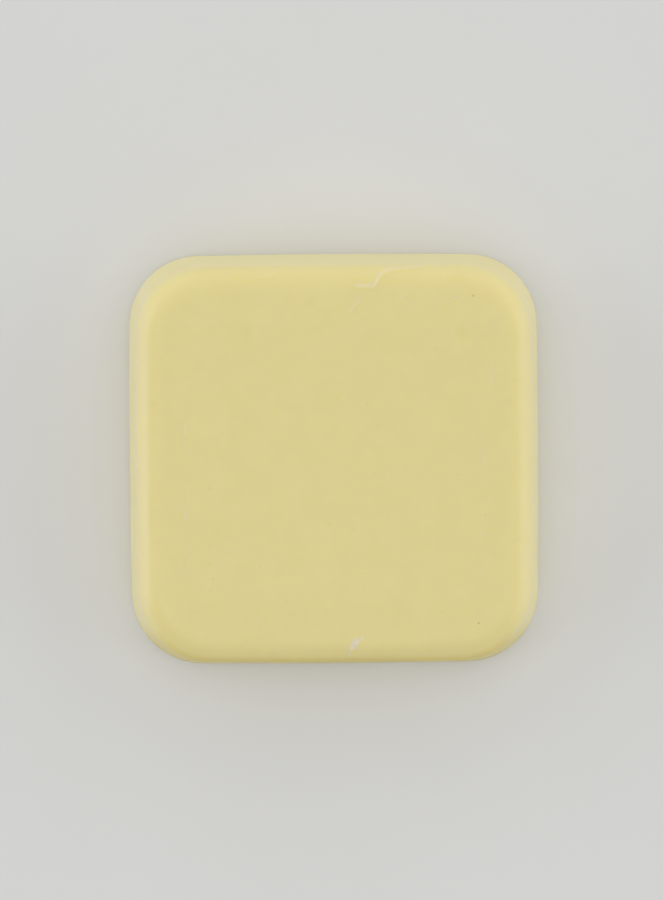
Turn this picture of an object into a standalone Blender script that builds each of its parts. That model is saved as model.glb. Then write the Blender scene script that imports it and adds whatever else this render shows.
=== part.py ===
"""Clay bar for cleaning car paint: one moulded block of soft detailing clay.

Metres, +Z up. The bar is pressed in a shallow square tray and tipped out of it. Its upper face and round
shoulders are the tray's floor, its sides lean in by the tray's draft, and its lower face, which the tray
left open, is flat almost to its edge. The origin is the centre of that lower face, which the bar rests on.
"""

import math

import bmesh
import bpy

# Driving dimensions, in metres and degrees.
SIDE = 0.060  # across the bar at its widest, just above the table, the same both ways
THICKNESS = 0.015  # from the resting face to the working face
DRAFT = math.radians(8)  # how far each side leans in from upright
CORNER_RADIUS = 0.0106  # each of the four corners, seen from above
SHOULDER_RADIUS = 0.0035  # the roll from the working face into the sides
FOOT_RADIUS = 0.0005  # the slight round where the sides meet the resting face

# How finely the round stretches are divided.
CORNER_SEGMENTS = 12
SHOULDER_SEGMENTS = 8
FOOT_SEGMENTS = 2

# A bevel is set by its reach, the distance from the sharp edge to where the round starts. It follows from
# the radius and from how far the surface turns there.
CORNER_REACH = CORNER_RADIUS
SHOULDER_REACH = SHOULDER_RADIUS * math.tan((math.pi / 2 - DRAFT) / 2)
FOOT_REACH = FOOT_RADIUS * math.tan((math.pi / 2 + DRAFT) / 2)

CLAY_COLOUR = (0.72, 0.63, 0.28, 1.0)
CLAY_ROUGHNESS = 0.48
CLAY_METALLIC = 0.0


def clear_scene():
    for obj in list(bpy.data.objects):
        bpy.data.objects.remove(obj, do_unlink=True)


def make_collection(name):
    collection = bpy.data.collections.new(name)
    bpy.context.scene.collection.children.link(collection)
    return collection


def clay_material():
    material = bpy.data.materials.new("detailing_clay")
    material.use_nodes = True
    shader = material.node_tree.nodes["Principled BSDF"]
    shader.inputs["Base Color"].default_value = CLAY_COLOUR
    shader.inputs["Roughness"].default_value = CLAY_ROUGHNESS
    shader.inputs["Metallic"].default_value = CLAY_METALLIC
    return material


def add_tapered_block(mesh):
    """A block standing on z = 0, with its top face narrower than its base by the draft.

    The base is drawn wider than the bar by what rounding the foot takes off it.
    """
    bmesh.ops.create_cube(mesh, size=1.0)
    base_side = SIDE + 2 * FOOT_REACH * math.sin(DRAFT)
    top_side = base_side - 2 * THICKNESS * math.tan(DRAFT)
    for vertex in mesh.verts:
        is_top = vertex.co.z > 0
        side = top_side if is_top else base_side
        vertex.co.x *= side
        vertex.co.y *= side
        vertex.co.z = THICKNESS if is_top else 0.0


def bevel(mesh, edges, reach, segments):
    bmesh.ops.bevel(
        mesh,
        geom=edges,
        offset=reach,
        offset_type="OFFSET",
        segments=segments,
        profile=0.5,
        affect="EDGES",
        clamp_overlap=False,
    )


def edges_between(mesh, low, high):
    """The edges with one end at each of these heights."""
    near = THICKNESS / 1000
    found = []
    for edge in mesh.edges:
        ends = sorted(vertex.co.z for vertex in edge.verts)
        if abs(ends[0] - low) < near and abs(ends[1] - high) < near:
            found.append(edge)
    return found


def make_clay_bar(collection):
    mesh = bmesh.new()
    add_tapered_block(mesh)
    bevel(mesh, edges_between(mesh, 0.0, THICKNESS), CORNER_REACH, CORNER_SEGMENTS)
    bevel(mesh, edges_between(mesh, THICKNESS, THICKNESS), SHOULDER_REACH, SHOULDER_SEGMENTS)
    bevel(mesh, edges_between(mesh, 0.0, 0.0), FOOT_REACH, FOOT_SEGMENTS)
    data = bpy.data.meshes.new("clay_bar")
    mesh.to_mesh(data)
    mesh.free()
    data.materials.append(clay_material())
    data.shade_smooth()
    bar = bpy.data.objects.new("clay_bar", data)
    collection.objects.link(bar)


def main():
    clear_scene()
    make_clay_bar(make_collection("clay_bar_object"))


main()
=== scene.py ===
# %% [markdown]
# # A bar of detailing clay
#
# Detailing clay is a soft, slightly waxy putty with a very fine abrasive mixed all through it. It is pressed
# in a shallow square tray, tipped out, and rubbed flat over wet car paint to lift the grit that washing
# leaves. The bar is one piece, so this lesson makes one piece well: the block as the tray shapes it, the
# marks that pressing and handling leave in soft clay, and a finish that reads as clay and not as plastic.
#
# Everything is in metres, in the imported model's own frame: the bar rests on z = 0, and +Y is its far side.

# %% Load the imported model, which fixes where the bar is and how large
import math

import bmesh
import bpy
import numpy as np
from mathutils import Euler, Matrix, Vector, noise


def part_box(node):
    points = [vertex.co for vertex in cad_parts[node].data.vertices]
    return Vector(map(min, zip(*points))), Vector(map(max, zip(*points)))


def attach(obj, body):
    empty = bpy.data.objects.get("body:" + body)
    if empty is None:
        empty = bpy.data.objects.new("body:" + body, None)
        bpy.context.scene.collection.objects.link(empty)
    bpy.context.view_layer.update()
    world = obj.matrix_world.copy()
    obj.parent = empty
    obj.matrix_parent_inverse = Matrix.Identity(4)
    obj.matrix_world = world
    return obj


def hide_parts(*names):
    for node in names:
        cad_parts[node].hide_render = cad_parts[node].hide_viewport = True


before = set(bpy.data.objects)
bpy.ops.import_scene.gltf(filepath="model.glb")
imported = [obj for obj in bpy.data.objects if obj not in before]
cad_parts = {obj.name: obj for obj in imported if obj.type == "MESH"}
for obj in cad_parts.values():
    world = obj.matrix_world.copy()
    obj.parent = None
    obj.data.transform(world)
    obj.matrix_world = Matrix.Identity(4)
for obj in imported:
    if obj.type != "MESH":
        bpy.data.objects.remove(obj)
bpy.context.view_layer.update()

MM = 0.001
LOW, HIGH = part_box("clay_bar")
SIDE = HIGH.x - LOW.x
THICKNESS = HIGH.z - LOW.z
MIDDLE = (LOW + HIGH) / 2
print(f"bar {SIDE / MM:.1f} mm square and {THICKNESS / MM:.1f} mm thick")


# %% [markdown]
# ## The camera
#
# The bar is seen from almost straight above. A long lens from half a metre away keeps the four sides from
# showing much. The camera stands a touch past the bar, towards its far side, so a sliver of the far side
# shows and hardly any of the near one. It is rolled a little too, because nobody lays a bar down dead square.

# %% Camera, above the bar
CAMERA_DISTANCE = 0.5
CAMERA_LEAN = math.radians(2.8)  # how far past upright it looks back at the bar
SEEN_HIGH = 132.3 * MM  # how much of the table the picture's height takes in
BAR_OFF_CENTRE = Vector((0.36 * MM, -1.22 * MM))  # right of and above the middle of the view
BAR_TURN = math.radians(0.43)  # anticlockwise, as it is seen

aim = Vector((-BAR_OFF_CENTRE.x, -BAR_OFF_CENTRE.y, LOW.z))
turn = Euler((-CAMERA_LEAN, 0.0, -BAR_TURN))
back = turn.to_matrix() @ Vector((0.0, 0.0, CAMERA_DISTANCE))
bpy.ops.object.camera_add(location=aim + back, rotation=turn)
camera = bpy.context.object
camera.name = "camera"
camera.data.sensor_width = 36.0
camera.data.lens = camera.data.sensor_width * CAMERA_DISTANCE / SEEN_HIGH
camera.data.dof.use_dof = False
bpy.context.scene.camera = camera
print(f"lens {camera.data.lens:.0f} mm, {CAMERA_DISTANCE / MM:.0f} mm away")


# %% [markdown]
# ## Two effects that the clay and the table share
#
# Nothing real is one flat colour. Both finishes here need soft clouds, a slow drift in tone from place to
# place, and a fine grain, the small unevenness that the light catches. Each is a node group, so it is built
# once and placed in each finish with its own values.

# %% Helpers for node groups
def new_group(name, inputs, output):
    """An empty shader group that takes a place and some numbers, and gives one value."""
    group = bpy.data.node_groups.new(name, "ShaderNodeTree")
    group.interface.new_socket("Place", in_out="INPUT", socket_type="NodeSocketVector")
    for label, value in inputs.items():
        socket = group.interface.new_socket(label, in_out="INPUT", socket_type="NodeSocketFloat")
        socket.default_value = value
    group.interface.new_socket(output, in_out="OUTPUT", socket_type="NodeSocketFloat")
    return group, group.nodes.new("NodeGroupInput"), group.nodes.new("NodeGroupOutput")


def place_group(tree, group, place, **values):
    """Puts a group in a finish, reads it at this place, and sets its numbers."""
    node = tree.nodes.new("ShaderNodeGroup")
    node.node_tree = group
    tree.links.new(place, node.inputs["Place"])
    for label, value in values.items():
        node.inputs[label].default_value = value
    return node.outputs[0]


# %% Soft clouds
clouds, clouds_in, clouds_out = new_group("soft_clouds", {"Per_metre": 100.0, "Contrast": 1.0}, "Cloud")
drift = clouds.nodes.new("ShaderNodeTexNoise")
drift.inputs["Detail"].default_value = 3.0
drift.inputs["Roughness"].default_value = 0.55
centred = clouds.nodes.new("ShaderNodeMath")
centred.operation = "SUBTRACT"
centred.inputs[1].default_value = 0.5
stretched = clouds.nodes.new("ShaderNodeMath")
stretched.operation = "MULTIPLY_ADD"
stretched.inputs[2].default_value = 0.5
stretched.use_clamp = True
clouds.links.new(clouds_in.outputs["Place"], drift.inputs["Vector"])
clouds.links.new(clouds_in.outputs["Per_metre"], drift.inputs["Scale"])
clouds.links.new(drift.outputs["Fac"], centred.inputs[0])
clouds.links.new(centred.outputs[0], stretched.inputs[0])
clouds.links.new(clouds_in.outputs["Contrast"], stretched.inputs[1])
clouds.links.new(stretched.outputs[0], clouds_out.inputs["Cloud"])

# %% Fine grain, which is small swells with pinholes between them
grain, grain_in, grain_out = new_group("fine_grain", {"Per_metre": 2000.0, "Pinholes": 0.5}, "Height")
swells = grain.nodes.new("ShaderNodeTexNoise")
swells.inputs["Detail"].default_value = 4.0
swells.inputs["Roughness"].default_value = 0.6
cells = grain.nodes.new("ShaderNodeTexVoronoi")
holes = grain.nodes.new("ShaderNodeMapRange")
holes.interpolation_type = "SMOOTHSTEP"
holes.inputs["From Min"].default_value = 0.0
holes.inputs["From Max"].default_value = 0.25
holes.inputs["To Min"].default_value = 1.0
holes.inputs["To Max"].default_value = 0.0
sunk = grain.nodes.new("ShaderNodeMath")
sunk.operation = "MULTIPLY"
level = grain.nodes.new("ShaderNodeMath")
level.operation = "SUBTRACT"
for texture in (swells, cells):
    grain.links.new(grain_in.outputs["Place"], texture.inputs["Vector"])
    grain.links.new(grain_in.outputs["Per_metre"], texture.inputs["Scale"])
grain.links.new(cells.outputs["Distance"], holes.inputs["Value"])
grain.links.new(holes.outputs["Result"], sunk.inputs[0])
grain.links.new(grain_in.outputs["Pinholes"], sunk.inputs[1])
grain.links.new(swells.outputs["Fac"], level.inputs[0])
grain.links.new(sunk.outputs[0], level.inputs[1])
grain.links.new(level.outputs[0], grain_out.inputs["Height"])
print("groups:", ", ".join(group.name for group in bpy.data.node_groups))


# %% Helpers for finishes
def new_finish(name, roughness, specular):
    """A new material, its node tree, its Principled shader and the object's own coordinates."""
    finish = bpy.data.materials.new(name)
    finish.use_nodes = True
    tree = finish.node_tree
    shader = tree.nodes["Principled BSDF"]
    shader.inputs["Roughness"].default_value = roughness
    shader.inputs["Specular IOR Level"].default_value = specular
    place = tree.nodes.new("ShaderNodeTexCoord").outputs["Object"]
    return finish, tree, shader, place


def blend_colours(tree, mask, low, high):
    """One colour where the mask is 0, the other where it is 1. Each is a colour or a node's output."""
    mix = tree.nodes.new("ShaderNodeMix")
    mix.data_type = "RGBA"
    tree.links.new(mask, mix.inputs["Factor"])
    for socket, colour in ((mix.inputs[6], low), (mix.inputs[7], high)):
        if isinstance(colour, tuple):
            socket.default_value = (*colour, 1.0)
        else:
            tree.links.new(colour, socket)
    return mix.outputs[2]


def emboss(tree, shader, height, depth, strength):
    """Lets a height of this depth, in metres, tilt the surface's normal."""
    bump = tree.nodes.new("ShaderNodeBump")
    bump.inputs["Distance"].default_value = depth
    bump.inputs["Strength"].default_value = strength
    tree.links.new(height, bump.inputs["Height"])
    tree.links.new(bump.outputs["Normal"], shader.inputs["Normal"])


# %% [markdown]
# ## The table
#
# The bar lies on a plain pale board with a dull painted face. It fills every view from above, and from low
# down it reaches away to the horizon. Two faces at one height would fight over which is in front, so the
# board is a hair below the bar.

# %% Table
TABLE_WIDE = 12.0
TABLE_GAP = 0.02 * MM
TABLE_PALE = (0.697, 0.696, 0.680)
TABLE_DEEP = (0.687, 0.686, 0.670)

bpy.ops.mesh.primitive_plane_add(size=TABLE_WIDE, location=(0.0, 0.0, LOW.z - TABLE_GAP))
table = bpy.context.object
table.name = "table"

painted, painted_tree, painted_shader, painted_place = new_finish("painted_board", 0.7, 0.2)
tone = place_group(painted_tree, clouds, painted_place, Per_metre=40.0, Contrast=2.0)
painted_tree.links.new(
    blend_colours(painted_tree, tone, TABLE_DEEP, TABLE_PALE), painted_shader.inputs["Base Color"]
)
stipple = place_group(painted_tree, grain, painted_place, Per_metre=900.0, Pinholes=0.0)
emboss(painted_tree, painted_shader, stipple, depth=0.02 * MM, strength=0.3)
table.data.materials.append(painted)
print(f"table {TABLE_WIDE:.0f} m wide, {TABLE_GAP / MM:.2f} mm below the bar")


# %% [markdown]
# ## The light
#
# Small bright lamps would put hard glints on a satin surface. Products like this are lit in a tent of white
# cloth with lamps outside it, so the light comes from broad soft patches. The sky of this scene is that tent:
# each patch is a spot on the dome, bright in its middle and fading to its rim.

# %% Light tent
TENT_COLOUR = (1.0, 1.0, 1.0, 1.0)
TENT_GLOW = 0.31  # what the cloth gives where no lamp shines on it
BACKDROP = 0.72  # how pale the tent looks behind the table
LOW_BAND = {  # bearing in degrees of each patch that stands on the table's rim, and its strength
    0: 1.64,
    45: 1.14,
    90: 0.63,
    135: 1.01,
    180: 1.81,
    270: 0.13,
    315: 0.27,
}
LOW_HEIGHT = 8  # degrees above the table's rim, to the middle of each patch
LOW_HALF_WIDTH = 40  # degrees
HIGH_PATCHES = {  # bearing, height and half width in degrees, and strength
    "overhead": (0, 90, 45, 1.01),
    "left_high": (180, 62, 32, 0.18),
    "near_high": (270, 62, 32, 0.42),
}

world = bpy.data.worlds.new("light_tent")
bpy.context.scene.world = world
world.use_nodes = True
sky = world.node_tree
direction = sky.nodes.new("ShaderNodeTexCoord").outputs["Generated"]


def add_patch(total, bearing, height, half_width, strength):
    """Adds one soft patch of light to the brightness so far."""
    bearing, height, half_width = (math.radians(angle) for angle in (bearing, height, half_width))
    towards = (math.cos(height) * math.cos(bearing), math.cos(height) * math.sin(bearing), math.sin(height))
    facing = sky.nodes.new("ShaderNodeVectorMath")
    facing.operation = "DOT_PRODUCT"
    facing.inputs[1].default_value = towards
    fade = sky.nodes.new("ShaderNodeMapRange")
    fade.interpolation_type = "SMOOTHSTEP"
    fade.inputs["From Min"].default_value = math.cos(half_width)
    fade.inputs["From Max"].default_value = 1.0
    fade.inputs["To Max"].default_value = strength
    summed = sky.nodes.new("ShaderNodeMath")
    summed.operation = "ADD"
    sky.links.new(direction, facing.inputs[0])
    sky.links.new(facing.outputs["Value"], fade.inputs["Value"])
    sky.links.new(fade.outputs["Result"], summed.inputs[0])
    if isinstance(total, float):
        summed.inputs[1].default_value = total
    else:
        sky.links.new(total, summed.inputs[1])
    return summed.outputs[0]


brightness = TENT_GLOW
for bearing, strength in LOW_BAND.items():
    brightness = add_patch(brightness, bearing, LOW_HEIGHT, LOW_HALF_WIDTH, strength)
for patch in HIGH_PATCHES.values():
    brightness = add_patch(brightness, *patch)

tent = sky.nodes["Background"]
tent.inputs["Color"].default_value = TENT_COLOUR
sky.links.new(brightness, tent.inputs["Strength"])
backdrop = sky.nodes.new("ShaderNodeBackground")
backdrop.inputs["Color"].default_value = TENT_COLOUR
backdrop.inputs["Strength"].default_value = BACKDROP
seen = sky.nodes.new("ShaderNodeLightPath")
choice = sky.nodes.new("ShaderNodeMixShader")
sky.links.new(seen.outputs["Is Camera Ray"], choice.inputs["Fac"])
sky.links.new(tent.outputs["Background"], choice.inputs[1])
sky.links.new(backdrop.outputs["Background"], choice.inputs[2])
sky.links.new(choice.outputs["Shader"], sky.nodes["World Output"].inputs["Surface"])
bpy.context.scene.view_settings.view_transform = "Standard"
print(f"{len(LOW_BAND)} low and {len(HIGH_PATCHES)} high patches of light in the tent")


# %% [markdown]
# ## The block, as the tray shapes it
#
# A tray has sides that lean outwards, or nothing would ever come out of it, and the bar takes that lean the
# other way up. So the block is a cube whose top is drawn in. Its four uprights are bevelled first, which
# rounds the plan, then the upper rim, which takes the round floor of the tray, and last the foot, a slight
# round where the clay was struck off level. The tray's corners are a shade fuller than a circle, so the
# uprights get a fuller profile than Bevel's usual one.

# %% Helpers for edit mode
def start_edit(piece, mode="EDGE"):
    """Opens this piece alone in edit mode, with nothing selected."""
    bpy.ops.object.select_all(action="DESELECT")
    piece.select_set(True)
    bpy.context.view_layer.objects.active = piece
    bpy.ops.object.mode_set(mode="EDIT")
    bpy.ops.mesh.select_mode(type=mode)
    bpy.ops.mesh.select_all(action="DESELECT")


def end_edit():
    bpy.ops.object.mode_set(mode="OBJECT")


def select_edges(piece, wanted):
    """Selects just the edges whose two ends pass the test."""
    bpy.ops.mesh.select_all(action="DESELECT")
    mesh = bmesh.from_edit_mesh(piece.data)
    chosen = [edge for edge in mesh.edges if wanted(*(vert.co for vert in edge.verts))]
    for edge in chosen:
        edge.select_set(True)
    bmesh.update_edit_mesh(piece.data)
    return len(chosen)


def select_faces(piece, wanted):
    """Selects just the faces whose middles pass the test."""
    bpy.ops.mesh.select_all(action="DESELECT")
    mesh = bmesh.from_edit_mesh(piece.data)
    chosen = [face for face in mesh.faces if wanted(face.calc_center_median())]
    for face in chosen:
        face.select_set(True)
    bmesh.update_edit_mesh(piece.data)
    return len(chosen)


# %% The block, from a cube
DRAFT = math.radians(8)  # how far each side leans in from upright
CORNER_REACH = 10.35 * MM  # from where an upright would stand to where its round starts
CORNER_PROFILE = 0.523  # 0.5 would be a plain circle
SHOULDER_RADIUS = 3.5 * MM
FOOT_RADIUS = 0.5 * MM
CORNER_SEGMENTS = 24
SHOULDER_SEGMENTS = 16
FOOT_SEGMENTS = 4
SAME_LEVEL = 0.01 * MM  # how near two heights must be to count as one
SHOULDER_REACH = SHOULDER_RADIUS * math.tan((math.pi / 2 - DRAFT) / 2)
FOOT_REACH = FOOT_RADIUS * math.tan((math.pi / 2 + DRAFT) / 2)

base_side = SIDE + 2 * FOOT_REACH * math.sin(DRAFT)
drawn_in = 1 - 2 * THICKNESS * math.tan(DRAFT) / base_side
bpy.ops.object.select_all(action="DESELECT")
bpy.ops.mesh.primitive_cube_add(size=1.0, location=MIDDLE, scale=(base_side, base_side, THICKNESS))
bar = bpy.context.object
bar.name = "pressed_clay"
bpy.ops.object.transform_apply(location=True, rotation=True, scale=True)


def level_at(height):
    """A test for an edge that lies flat at this height."""
    return lambda a, b: max(abs(a.z - height), abs(b.z - height)) < SAME_LEVEL


start_edit(bar, "FACE")
select_faces(bar, lambda middle: middle.z > HIGH.z - SAME_LEVEL)
bpy.ops.transform.resize(value=(drawn_in, drawn_in, 1.0))
bpy.ops.mesh.select_mode(type="EDGE")
uprights = select_edges(bar, lambda a, b: abs(a.z - b.z) > THICKNESS / 2)
bpy.ops.mesh.bevel(
    offset=CORNER_REACH, segments=CORNER_SEGMENTS, profile=CORNER_PROFILE, clamp_overlap=False
)
upper_rim = select_edges(bar, level_at(HIGH.z))
bpy.ops.mesh.bevel(offset=SHOULDER_REACH, segments=SHOULDER_SEGMENTS, clamp_overlap=False)
lower_rim = select_edges(bar, level_at(LOW.z))
bpy.ops.mesh.bevel(offset=FOOT_REACH, segments=FOOT_SEGMENTS, clamp_overlap=False)
end_edit()
print(f"bevelled {uprights} uprights, {upper_rim} upper edges and {lower_rim} lower ones")


# %% [markdown]
# ## An even skin to sculpt in
#
# A bevelled cube has faces only where it turns, so there is nothing to dent in its flats. A voxel remesh
# lays one even grid over the whole bar, as a sculptor does before the fine work.

# %% Voxel remesh
SKIN_GRID = 0.42 * MM

bar.data.remesh_voxel_size = SKIN_GRID
bar.data.remesh_voxel_adaptivity = 0.0
bpy.ops.object.voxel_remesh()
print(f"{len(bar.data.polygons)} faces after the remesh")


# %% [markdown]
# ## Clay is never as true as its tray
#
# A pressed bar is a little softer in shape than its tray. Its sides bow, because the corners shrink most. Its
# face falls away gently towards the shoulders, and its skin is faintly uneven where it let go of the tray.
# The near side came out last. It was dragged a little fuller than the others, and where the clay was struck
# off level with the tray's rim, a thin lip stands out at its foot. These are small moves of many points at
# once, which a sculptor makes with a broad brush, so they are written here as sums over all the points.

# %% Helpers for sculpting in code
def read_points(piece, what="co"):
    """Every vertex's place, or its normal, as an array with one row each."""
    values = np.empty(len(piece.data.vertices) * 3, np.float32)
    piece.data.vertices.foreach_get(what, values)
    return values.reshape(-1, 3)


def write_points(piece, points):
    piece.data.vertices.foreach_set("co", points.astype(np.float32).ravel())
    piece.data.update()


def ease(values, start, stop):
    """0 up to start, 1 past stop, and a smooth curve between them."""
    share = np.clip((values - start) / (stop - start), 0.0, 1.0)
    return share * share * (3 - 2 * share)


def swell(points, size, seed):
    """A smooth random height between about -1 and 1 at each point, with bumps of this size."""
    shift = Vector((seed, 2.0 * seed, 3.0 * seed))
    return np.array([noise.noise(Vector(point) / size + shift) for point in points])


# %% Bowed sides, a falling face and an uneven skin
SIDE_BOW = 0.33 * MM
FACE_FALL = 0.25 * MM
FALL_STARTS = SIDE / 2 - 11.0 * MM  # out from the middle
FALL_ENDS = SIDE / 2 - 4.0 * MM
SQUARENESS = 8  # 2 would make the fall round, and more makes it follow the square
SKIN_WAVES = ((9.0 * MM, 0.05 * MM, 3), (2.5 * MM, 0.012 * MM, 7))  # size, height and seed
STILL_FOOT = 1.5 * MM  # the skin gets its waves over this height, so that the foot stays flat

points = read_points(bar)
from_axis = points[:, :2] / (SIDE / 2)
points[:, :2] -= SIDE_BOW * from_axis * (from_axis[:, ::-1] ** 2)

outward = (np.abs(points[:, :2]) ** SQUARENESS).sum(axis=1) ** (1 / SQUARENESS)
raised = ease(points[:, 2], THICKNESS * 0.4, THICKNESS * 0.9)
points[:, 2] -= FACE_FALL * raised * ease(outward, FALL_STARTS, FALL_ENDS)

off_table = ease(points[:, 2], LOW.z, LOW.z + STILL_FOOT)
facing = read_points(bar, "normal")
for size, height, seed in SKIN_WAVES:
    points += facing * (off_table * height * swell(points, size, seed))[:, None]
print(f"sides bowed {SIDE_BOW / MM:.2f} mm, face falls {FACE_FALL / MM:.2f} mm")

# %% A fuller near side, with a lip at its foot
NEAR_FULLER = 0.40 * MM
FULLEST = THICKNESS * 0.75  # the height at which it is all of that
NEAR_BAND = (2.5 * MM, 7.0 * MM)  # in from the near edge, where it fades out
NEAR_ENDS = (1.5 * MM, 9.0 * MM)  # in from the left and right edges, where it fades in
LIP_OUT = 0.17 * MM
LIP_TOP = 1.5 * MM


def from_near(points):
    """How far in from the near edge each point is, seen from above."""
    return points[:, 1] + SIDE / 2


def from_left_or_right(points):
    """How far in from the left or the right edge each point is, whichever is nearer."""
    return SIDE / 2 - np.abs(points[:, 0])


def on_near_side(points):
    """1 on the near side, fading to 0 over its shoulder and round its corners."""
    return (1 - ease(from_near(points), *NEAR_BAND)) * ease(from_left_or_right(points), *NEAR_ENDS)


def on_lip(points):
    """1 at the foot of the near side and 0 above it."""
    return on_near_side(points) * (1 - ease(points[:, 2], 0.5 * LIP_TOP, LIP_TOP))


points[:, 1] -= NEAR_FULLER * on_near_side(points) * ease(points[:, 2], LOW.z, FULLEST)
points[:, 1] -= LIP_OUT * on_lip(points)
write_points(bar, points)
print(f"near side {NEAR_FULLER / MM:.2f} mm fuller, lip {LIP_OUT / MM:.2f} mm")


# %% [markdown]
# ## The marks of handling
#
# Soft clay keeps whatever touches it. This bar has a small fold near its far edge, where the skin rucked up
# as it left the tray, a scuff near its near edge, a few hairlines and nicks down its sides, and shallow
# pinholes. Where clay is scraped it goes pale, because the torn skin scatters the light. So each mark moves
# the surface and also leaves a value on it, for the finish to read.
#
# Each mark is a stroke along a short path, in millimetres from the middle of the bar, seen from above.

# %% The strokes
FOLDS = {  # path, half width of the crest, its height, and how pale it goes
    "fold_start": ([(3.5, 25.4), (5.8, 25.3), (6.2, 26.0)], 0.25, 0.06, 0.50),
    "fold": ([(6.2, 26.0), (6.6, 26.7), (7.2, 27.3), (8.0, 27.7), (9.4, 27.8)], 0.25, 0.08, 0.45),
    "fold_end": ([(9.4, 27.8), (11.0, 27.9), (12.6, 28.1)], 0.22, 0.04, 0.30),
    "fold_foot": ([(2.4, 21.7), (3.1, 22.6), (3.8, 23.3)], 0.25, 0.03, 0.30),
    "ripple": ([(26.8, 5.3), (26.0, 5.9), (24.6, 8.1)], 0.35, 0.02, 0.10),
}
SCRAPES = {  # path, half width, depth, and how pale it goes
    "scuff": ([(4.0, -24.9), (3.3, -25.3)], 0.32, 0.03, 0.60),
    "scuff_middle": ([(3.1, -25.4), (2.7, -25.8), (2.6, -26.1)], 0.56, 0.06, 1.00),
    "left_prong": ([(2.5, -26.2), (2.4, -26.7)], 0.14, 0.06, 0.90),
    "right_prong": ([(2.7, -26.2), (3.0, -26.7)], 0.14, 0.06, 0.90),
    "tail": ([(2.2, -26.4), (2.0, -27.1), (1.8, -27.6)], 0.20, 0.04, 0.70),
    "left_hairline": ([(-21.3, 5.6), (-21.3, 3.5), (-21.2, 1.3)], 0.12, 0.03, 0.40),
    "left_hairline_faint": ([(-21.2, -2.0), (-21.2, -3.7), (-21.2, -6.3)], 0.10, 0.02, 0.25),
    "left_hairline_bright": ([(-21.2, -6.4), (-21.2, -7.8)], 0.12, 0.05, 1.00),
    "left_hairline_end": ([(-21.4, -9.4), (-21.3, -10.3)], 0.12, 0.03, 0.40),
    "left_hairline_last": ([(-21.0, -10.6), (-21.1, -11.7), (-21.2, -15.8)], 0.12, 0.02, 0.25),
    "right_scrape": ([(21.3, 1.7), (21.4, -0.3)], 0.24, 0.03, 0.32),
    "right_scrape_above": ([(22.6, 13.8), (22.5, 11.7)], 0.24, 0.03, 0.35),
    "right_touches": ([(21.4, 3.7), (21.4, 3.0)], 0.20, 0.02, 0.35),
    "right_touch_middle": ([(21.2, -7.6), (21.2, -8.3)], 0.20, 0.02, 0.30),
    "right_touch_low": ([(21.4, -10.2), (21.5, -10.4)], 0.24, 0.03, 0.40),
    "right_touch_last": ([(21.2, -14.7), (21.2, -16.2)], 0.14, 0.02, 0.30),
    "shoulder_rub": ([(-27.9, 14.9), (-27.9, 14.4)], 0.30, 0.03, 0.45),
    "nick": ([(12.2, -3.1), (12.1, -4.5)], 0.10, 0.02, 0.30),
    "short_nick": ([(-9.5, -16.5), (-9.4, -17.2)], 0.10, 0.02, 0.30),
    "dent": ([(17.1, 23.5), (17.3, 23.5)], 0.20, 0.04, 0.50),
    "dent_by_fold": ([(9.6, 23.6), (9.8, 23.6)], 0.24, 0.02, 0.40),
}
SPECKS = [(20.0, 23.8), (20.5, -23.0)]  # grit that the clay has picked up
SPECK_RADIUS = 0.16
STAINS = [  # place and radius of a spot where the yellow is deeper
    ((-3.1, 23.1), 1.1),
    ((-25.6, 8.6), 0.8),
    ((-12.4, 18.9), 1.3),
    ((18.4, 18.5), 1.6),
    ((6.7, 20.9), 0.35),
    ((10.6, 23.6), 0.3),
    ((-21.0, 18.0), 0.3),
    ((-24.5, 15.3), 0.35),
]
PINHOLES = 34
PINHOLE_RADIUS = (0.16, 0.30)
PINHOLE_DEPTH = 0.02
PINHOLE_MARGIN = 6.0  # no pinhole is nearer an edge than this
PINHOLE_SEED = 11


def follow(points, path):
    """How far each point is from the path, seen from above, and on which side: above 0 is to its left."""
    flat = points[:, :2] / MM
    nearest = np.full(len(flat), np.inf)
    side = np.zeros(len(flat))
    for first, last in zip(path, path[1:]):
        first, run = np.array(first), np.array(last) - np.array(first)
        share = np.clip((flat - first) @ run / (run @ run), 0.0, 1.0)
        away = flat - first - share[:, None] * run
        distance = np.hypot(away[:, 0], away[:, 1])
        closer = distance < nearest
        nearest[closer] = distance[closer]
        side[closer] = np.sign(run[0] * away[:, 1] - run[1] * away[:, 0])[closer]
    return nearest, side


def spot(place):
    """A path so short that it is a point."""
    x, y = place
    return [(x, y), (x + 0.01, y)]


def scattered_pinholes():
    """Places and radii of the pinholes on the face. The seed is fixed, so they never move."""
    chance = np.random.default_rng(PINHOLE_SEED)
    reach = SIDE / MM / 2 - PINHOLE_MARGIN
    return [
        ((x, y), radius)
        for x, y, radius in zip(
            chance.uniform(-reach, reach, PINHOLES),
            chance.uniform(-reach, reach, PINHOLES),
            chance.uniform(*PINHOLE_RADIUS, PINHOLES),
        )
    ]


pinholes = scattered_pinholes()
print(f"{len(FOLDS)} folds, {len(SCRAPES)} scrapes, {len(SPECKS)} specks and {len(pinholes)} pinholes")

# %% A finer skin under the marks
FINE_REACH = 0.75  # millimetres either side of a mark
FINE_CUTS = 3
PINHOLE_REACH = 0.5
PINHOLE_CUTS = 1


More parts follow.
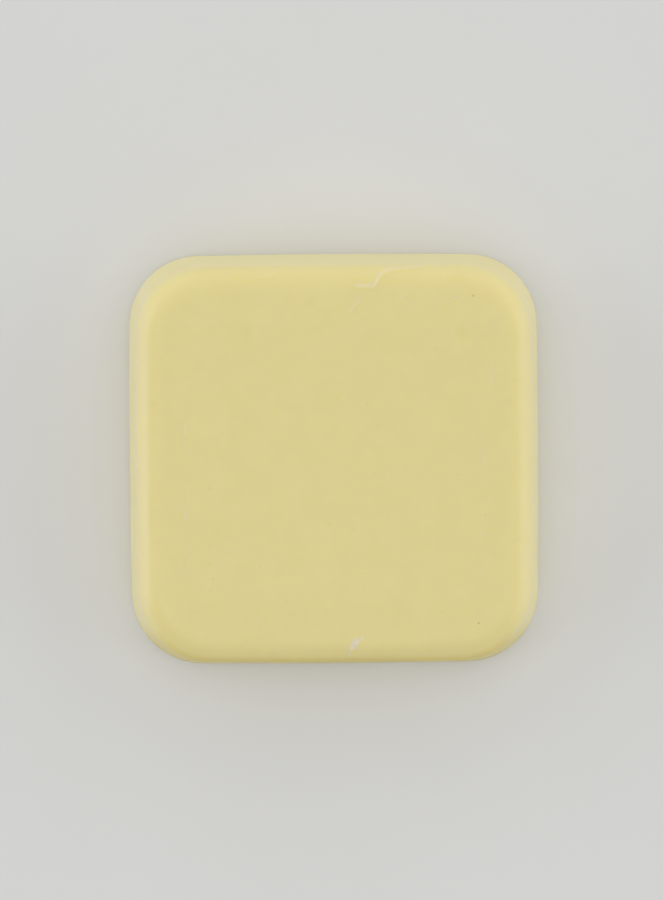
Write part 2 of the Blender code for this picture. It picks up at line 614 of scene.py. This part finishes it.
def refine(piece, paths, reach, cuts):
    """Divides the upper faces that lie within reach of any of these paths."""
    mesh = piece.data
    middles = np.empty(len(mesh.polygons) * 3, np.float32)
    mesh.polygons.foreach_get("center", middles)
    middles = middles.reshape(-1, 3)
    near = np.zeros(len(middles), bool)
    for path in paths:
        near |= follow(middles, path)[0] < reach
    near &= middles[:, 2] > THICKNESS / 2
    start_edit(piece, "FACE")
    edited = bmesh.from_edit_mesh(mesh)
    edited.faces.ensure_lookup_table()
    for index in np.flatnonzero(near):
        edited.faces[index].select_set(True)
    bmesh.update_edit_mesh(mesh)
    bpy.ops.mesh.subdivide(number_cuts=cuts, smoothness=0.0)
    end_edit()
    return int(near.sum())


marked = [stroke[0] for stroke in (*FOLDS.values(), *SCRAPES.values())] + [spot(place) for place in SPECKS]
refined = refine(bar, marked, FINE_REACH, FINE_CUTS)
refined += refine(bar, [spot(place) for place, radius in pinholes], PINHOLE_REACH, PINHOLE_CUTS)
print(f"{refined} faces refined, {len(bar.data.polygons)} faces now")


# %% [markdown]
# ## Pressing them in
#
# All the marks add up to one height for each point, in millimetres, and to three values between 0 and 1: how
# pale the clay is there, scraped pale or as a painted sheen; how much deeper its yellow is, from stains or as
# painted shade; and whether grit sits in it. Only the upper part of the bar is marked, so the marks fade out
# down its sides.

# %% An unmarked skin to start from
points = read_points(bar)
on_top = ease(points[:, 2], THICKNESS * 0.3, THICKNESS * 0.6)
lift = np.zeros(len(points))
pale_and_painted_sheen = np.zeros(len(points))
stains_and_painted_shade = np.zeros(len(points))
gritty = np.zeros(len(points))


def between(values, rise, fall):
    """1 between a rise and a fall, and 0 outside them. Each is given by its start and its stop."""
    return ease(values, *rise) * (1 - ease(values, *fall))


print(f"{int((on_top > 0).sum())} of {len(points)} points can take a mark")

# %% Folds, with a pale crest and painted shade behind it
FOLD_RISE = (-1, 1)  # across the crest's line, in half widths of the crest, as are the next five
FOLD_FALL = (1, 6)
FOLD_ENDS = (5, 6)
CREST_FALL = (0.4, 1.5)
HOLLOW_RISE = (1, 2)
HOLLOW_FALL = (2, 5)
HOLLOW_PAINTED_SHADE = 2.0  # painted shade behind the crest, for each millimetre of the fold's height

for path, width, height, paleness in FOLDS.values():
    distance, side = follow(points, path)
    behind = -distance * side / width
    ends = 1 - ease(distance / width, *FOLD_ENDS)
    crest = 1 - ease(np.abs(behind), *CREST_FALL)
    lift += height * between(behind, FOLD_RISE, FOLD_FALL) * ends
    pale_and_painted_sheen = np.maximum(pale_and_painted_sheen, paleness * crest * ends)
    # The deeper yellow behind each crest is painted shade.
    stains_and_painted_shade = np.maximum(stains_and_painted_shade, HOLLOW_PAINTED_SHADE * height * between(behind, HOLLOW_RISE, HOLLOW_FALL))
print(f"tallest fold {lift.max():.2f} mm")

# %% Scrapes, crumbly inside and along their rims
CRUMB_SIZE = 0.35 * MM
CRUMB_SHARE = 0.35  # how much of a scrape's depth the crumbs add or take away
CRUMB_SEED = 5
SCRAPE_WALL = (0.3, 1.2)  # out from the path, in half widths of the scrape, as are the next two
RIM_RISE = (0.8, 1.3)
RIM_FALL = (1.3, 2.2)
RIM_SHARE = 0.4  # how high the rim stands, as a share of the scrape's depth

crumbly = 1 + CRUMB_SHARE * swell(points, CRUMB_SIZE, CRUMB_SEED)
for path, width, depth, paleness in SCRAPES.values():
    out = follow(points, path)[0] / width
    inside = 1 - ease(out, *SCRAPE_WALL)
    lift += depth * crumbly * (RIM_SHARE * between(out, RIM_RISE, RIM_FALL) - inside)
    pale_and_painted_sheen = np.maximum(pale_and_painted_sheen, paleness * inside * np.clip(crumbly, 0.0, 1.2))
print(f"deepest scrape {-lift.min():.2f} mm")

# %% Pinholes, specks of grit and stains
# Each pinhole is painted a deeper yellow inside, as painted shade.
PINHOLE_PAINTED_SHADE = 0.3
PINHOLE_WALL = (0.2, 1.3)  # out from the middle, in radii, as are the next two
SPECK_HEIGHT = 0.04
SPECK_WALL = (0.5, 1.0)
STAIN_DEEPENED = 0.2
STAIN_FADE = (0.2, 1.0)


def in_spot(place, radius, fade):
    """1 at a place and 0 away from it, fading between these distances, which are in radii."""
    return 1 - ease(follow(points, spot(place))[0] / radius, *fade)


for place, radius in pinholes:
    inside = in_spot(place, radius, PINHOLE_WALL)
    lift -= PINHOLE_DEPTH * inside
    # painted shade inside the pinhole
    stains_and_painted_shade = np.maximum(stains_and_painted_shade, PINHOLE_PAINTED_SHADE * inside)
for place in SPECKS:
    inside = in_spot(place, SPECK_RADIUS, SPECK_WALL)
    lift += SPECK_HEIGHT * inside
    gritty = np.maximum(gritty, inside)
for place, radius in STAINS:
    stains_and_painted_shade = np.maximum(stains_and_painted_shade, STAIN_DEEPENED * in_spot(place, radius, STAIN_FADE))
print(f"{len(pinholes)} pinholes, {len(SPECKS)} specks and {len(STAINS)} stains")

# %% [markdown]
# ## Painted sheen and painted shade
#
# A faint pale band runs all along the left and the right shoulders: a painted sheen. A deeper yellow is
# painted as shade instead: below the near shoulder, on the lip, and round the two near corners.

# %% Painted sheen and painted shade
SHOULDER_PAINTED_SHEEN = {-1: 0.22, 1: 0.12}  # how strong the painted sheen on the left and the right shoulders is
SHEEN_RISE = (0.8 * MM, 1.6 * MM)  # in from the left or the right edge, where that fades in
SHEEN_FALL = (3.1 * MM, 3.9 * MM)  # and where it fades out
SHEEN_BACK = (4.0 * MM, 10.0 * MM)  # in from the near edge, where it fades in
SHOULDER_RIM = (0.9 * MM, 2.1 * MM)  # down from the face, where the painted shade fades in
NEAR_SIDE_PAINTED_SHADE = 0.85  # painted shade below the near shoulder and on the lip
NEAR_SHADE_FADE = 0.8  # how much of that is gone further down
NEAR_SHADE_FADES = (3.5 * MM, 7.0 * MM)  # down from the face, where it goes
CORNER_PAINTED_SHADE = 0.75  # painted shade round the two near corners, all the way down
CORNER_INNER = (7.0 * MM, 12.0 * MM)  # in from the left and right edges, where that fades out
CORNER_BACK = (3.0 * MM, 7.0 * MM)  # in from the near edge, where it fades out too

pale_and_painted_sheen *= on_top
stains_and_painted_shade *= on_top
# A pale band along the left and the right shoulders is a painted sheen.
for towards, paleness in SHOULDER_PAINTED_SHEEN.items():
    sheen_band = between(SIDE / 2 - towards * points[:, 0], SHEEN_RISE, SHEEN_FALL)
    pale_and_painted_sheen = np.maximum(pale_and_painted_sheen, paleness * sheen_band * ease(from_near(points), *SHEEN_BACK))

# Painted shade below the near shoulder, on the lip, and round the two near corners.
down = HIGH.z - points[:, 2]
shade_under_rim = ease(down, *SHOULDER_RIM)
near_side_shade = shade_under_rim * (1 - NEAR_SHADE_FADE * ease(down, *NEAR_SHADE_FADES)) * on_near_side(points)
corners = shade_under_rim * (1 - ease(from_left_or_right(points), *CORNER_INNER))
corners *= 1 - ease(from_near(points), *CORNER_BACK)
stains_and_painted_shade = np.maximum(stains_and_painted_shade, NEAR_SIDE_PAINTED_SHADE * np.maximum(near_side_shade, on_lip(points)))
stains_and_painted_shade = np.maximum(stains_and_painted_shade, CORNER_PAINTED_SHADE * corners)
print(f"palest {pale_and_painted_sheen.max():.2f}, deepest yellow {stains_and_painted_shade.max():.2f}")

# %% Write the marks into the mesh
points += read_points(bar, "normal") * (lift * on_top * MM)[:, None]
write_points(bar, points)
for name, values in (("pale_and_painted_sheen", pale_and_painted_sheen), ("stains_and_painted_shade", stains_and_painted_shade), ("gritty", gritty)):
    layer = bar.data.attributes.new(name, "FLOAT", "POINT")
    layer.data.foreach_set("value", np.clip(values, 0.0, 1.0).astype(np.float32))
print("values on the surface: paled, deepened, gritty")


# %% [markdown]
# ## The finish
#
# The clay is a pale mustard yellow, and a touch uneven in tone. It is satin: dull enough to show no clear
# reflection, but bright where a shoulder turns towards the light. It also lets a little light in, so its
# edges glow instead of falling into shade. Subsurface scattering does that, and it is strongest in red and
# weakest in blue, as in any yellow putty. Last, the abrasive leaves a faint powder on the skin, which shows
# as a whitish bloom where a side is seen edge on. Sheen gives that bloom, and it fades out where the yellow
# is deeper, from stains or painted shade.

# %% Clay
CLAY_ROUGHNESS = 0.45
CLAY_SPECULAR = 0.5
CLAY_PALE = (0.752, 0.666, 0.300)  # the two ends of the soft clouds
CLAY_DEEP = (0.742, 0.648, 0.282)
PALE_AND_SHEEN = (0.765, 0.685, 0.510)  # what each value on the surface turns the clay to
DEEP_YELLOW_AND_SHADE = (0.68, 0.56, 0.17)
GRIT = (0.48, 0.38, 0.12)
SCATTER_SHARE = 0.6
SCATTER_DEPTH = 3.0 * MM
SCATTER_TINT = (1.0, 0.8, 0.35)
POWDER_SHARE = 0.16


def left_on_surface(tree, name):
    """The value that a mark left on the surface."""
    node = tree.nodes.new("ShaderNodeAttribute")
    node.attribute_name = name
    return node.outputs["Fac"]


clay, clay_tree, clay_shader, clay_place = new_finish("detailing_clay", CLAY_ROUGHNESS, CLAY_SPECULAR)
clay_shader.inputs["Subsurface Weight"].default_value = SCATTER_SHARE
clay_shader.inputs["Subsurface Radius"].default_value = SCATTER_TINT
clay_shader.inputs["Subsurface Scale"].default_value = SCATTER_DEPTH

# Where stains or painted shade deepen the yellow, the sheen fades out.
stain_and_shade_value = left_on_surface(clay_tree, "stains_and_painted_shade")
powder = clay_tree.nodes.new("ShaderNodeMapRange")
powder.inputs["To Min"].default_value = POWDER_SHARE
powder.inputs["To Max"].default_value = 0.0
clay_tree.links.new(stain_and_shade_value, powder.inputs["Value"])
clay_tree.links.new(powder.outputs["Result"], clay_shader.inputs["Sheen Weight"])

tone = place_group(clay_tree, clouds, clay_place, Per_metre=260.0, Contrast=2.0)
colour = blend_colours(clay_tree, tone, CLAY_DEEP, CLAY_PALE)
# Deeper yellow for stains, and painted shade below the near shoulder, on the lip, round the near corners, in
# pinholes and behind folds.
colour = blend_colours(clay_tree, stain_and_shade_value, colour, DEEP_YELLOW_AND_SHADE)
# Pale where the skin was scraped, and a painted sheen along the left and the right shoulders.
colour = blend_colours(clay_tree, left_on_surface(clay_tree, "pale_and_painted_sheen"), colour, PALE_AND_SHEEN)
colour = blend_colours(clay_tree, left_on_surface(clay_tree, "gritty"), colour, GRIT)
clay_tree.links.new(colour, clay_shader.inputs["Base Color"])
skin = place_group(clay_tree, grain, clay_place, Per_metre=2200.0, Pinholes=0.4)
emboss(clay_tree, clay_shader, skin, depth=0.012 * MM, strength=0.5)

bar.data.shade_smooth()
bar.data.materials.clear()
bar.data.materials.append(clay)
print(f"{clay.name} has {len(clay_tree.nodes)} nodes")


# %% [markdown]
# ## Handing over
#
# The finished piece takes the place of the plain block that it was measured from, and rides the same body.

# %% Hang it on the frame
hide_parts("clay_bar")
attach(bar, "root")
print(f"{bar.name} stands in for clay_bar")
